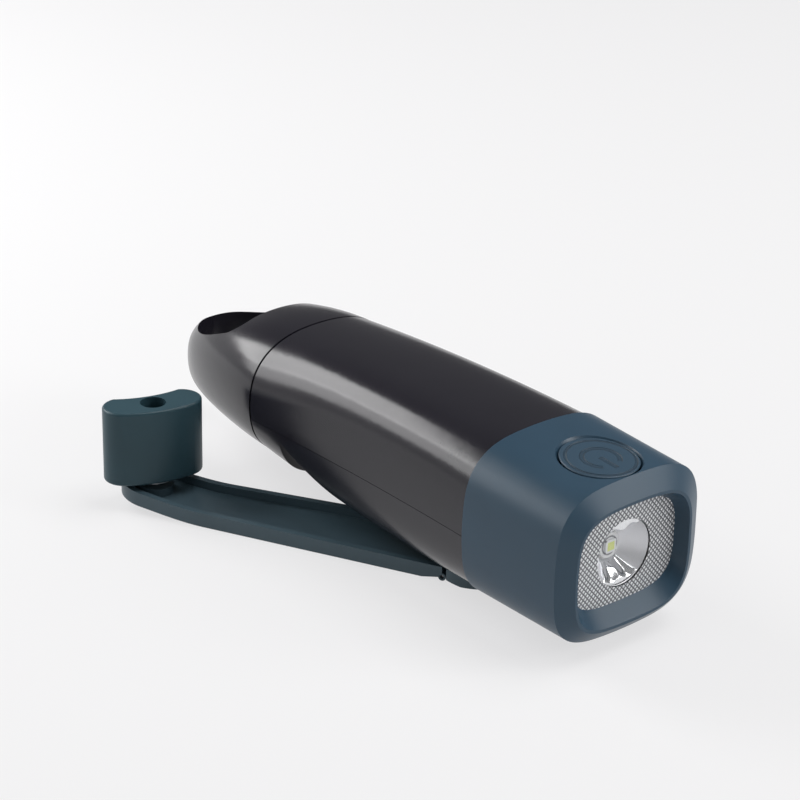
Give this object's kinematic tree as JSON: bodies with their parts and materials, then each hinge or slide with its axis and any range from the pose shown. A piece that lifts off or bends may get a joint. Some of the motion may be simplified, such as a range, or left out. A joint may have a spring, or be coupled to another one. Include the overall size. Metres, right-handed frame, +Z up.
{
  "type": "hand crank flashlight",
  "caption": "Hand crank flashlight with a rounded body, teal lamp head, looped tail cap and a folding crank that drives a geared generator inside.",
  "frame": {"origin": "where the crank axis meets the surface that the flashlight stands on", "axes": "+X along the body to the lamp, +Z up along the crank axis, -Y the side to which the crank is swung out"},
  "size_m": [0.185, 0.0867, 0.0504],
  "materials": {
    "body_plastic": "fine satin charcoal",
    "teal_soft": "soft-touch dark teal",
    "clear": "clear polycarbonate",
    "seal": "black rubber",
    "plated": "bright plated plastic",
    "board_metal": "white coated metal-core board",
    "emitter": "yellow phosphor in a pale collar",
    "inner_black": "black moulded",
    "board_green": "green solder mask",
    "steel": "plain steel",
    "cell": "blue sleeved cell",
    "gear_white": "natural acetal",
    "plate": "stamped sheet",
    "magnet": "dark nickel",
    "copper": "enamelled winding",
    "bronze": "plain bearing bronze"
  },
  "bodies": {
    "housing": {"upper_shell": "body_plastic", "lower_shell": "body_plastic", "shell_screws": "steel", "head_shell": "teal_soft", "front_lens": "clear", "lens_gasket": "seal", "reflector": "plated", "led_board": "board_metal", "led_package": "emitter", "light_carrier": "inner_black", "main_board": "board_green", "tact_switch": "steel", "battery_cell": "cell", "battery_cradle": "inner_black", "gear_axles": "steel", "gearbox_plate": "plate", "generator_stator": "steel", "generator_coil": "copper", "hub_bush": "bronze", "rear_bulkhead": "inner_black", "o_ring": "seal", "usb_socket": "steel"},
    "crank": {"crank_hub": "teal_soft", "hub_shaft": "steel", "drive_gear": "gear_white", "hinge_pin": "steel"},
    "arm": {"crank_arm": "teal_soft", "knob_axle": "steel"},
    "knob": {"crank_knob": "teal_soft"},
    "idler_1": {"idler_gear_1": "gear_white"},
    "idler_2": {"idler_gear_2": "gear_white"},
    "rotor": {"rotor_shaft": "steel", "rotor_pinion": "gear_white", "rotor_magnet": "magnet"},
    "button": {"power_button": "teal_soft"},
    "tail": {"tail_cap": "body_plastic"}
  },
  "joints": [
    {"name": "crank_spin", "type": "hinge", "parent": "housing", "child": "crank", "pos_m": [0, 0, 0], "axis": [0, 0, 1], "range_deg": [-5, 310]},
    {"name": "arm_fold", "type": "hinge", "parent": "crank", "child": "arm", "pos_m": [-0.00545, -0.00296, 0.0011], "axis": [0.4772, -0.8788, 0], "range_deg": [0, 158]},
    {"name": "knob_spin", "type": "hinge", "parent": "arm", "child": "knob", "pos_m": [-0.08621, -0.04681, 0.008], "axis": [0, 0, 1], "continuous": true},
    {"name": "idler_1_spin", "type": "hinge", "parent": "housing", "child": "idler_1", "pos_m": [-0.01691, 0.00616, 0.012], "axis": [0, 0, 1], "continuous": true},
    {"name": "idler_2_spin", "type": "hinge", "parent": "housing", "child": "idler_2", "pos_m": [-0.0238, -0.00367, 0.014], "axis": [0, 0, 1], "continuous": true},
    {"name": "rotor_spin", "type": "hinge", "parent": "housing", "child": "rotor", "pos_m": [-0.03539, -0.00057, 0.018], "axis": [0, 0, 1], "continuous": true},
    {"name": "power_button_press", "type": "slide", "parent": "housing", "child": "button", "axis": [0, 0, -1], "range_m": [0, 0.0006], "stiffness_N_per_m": 400},
    {"name": "tail_cap_pull", "type": "slide", "parent": "housing", "child": "tail", "axis": [-1, 0, 0], "range_m": [0, 0.02]}
  ],
  "couplings": [
    {"joint": "idler_1_spin", "follows": "crank_spin", "ratio": -4},
    {"joint": "idler_2_spin", "follows": "crank_spin", "ratio": 12},
    {"joint": "rotor_spin", "follows": "crank_spin", "ratio": -36}
  ]
}
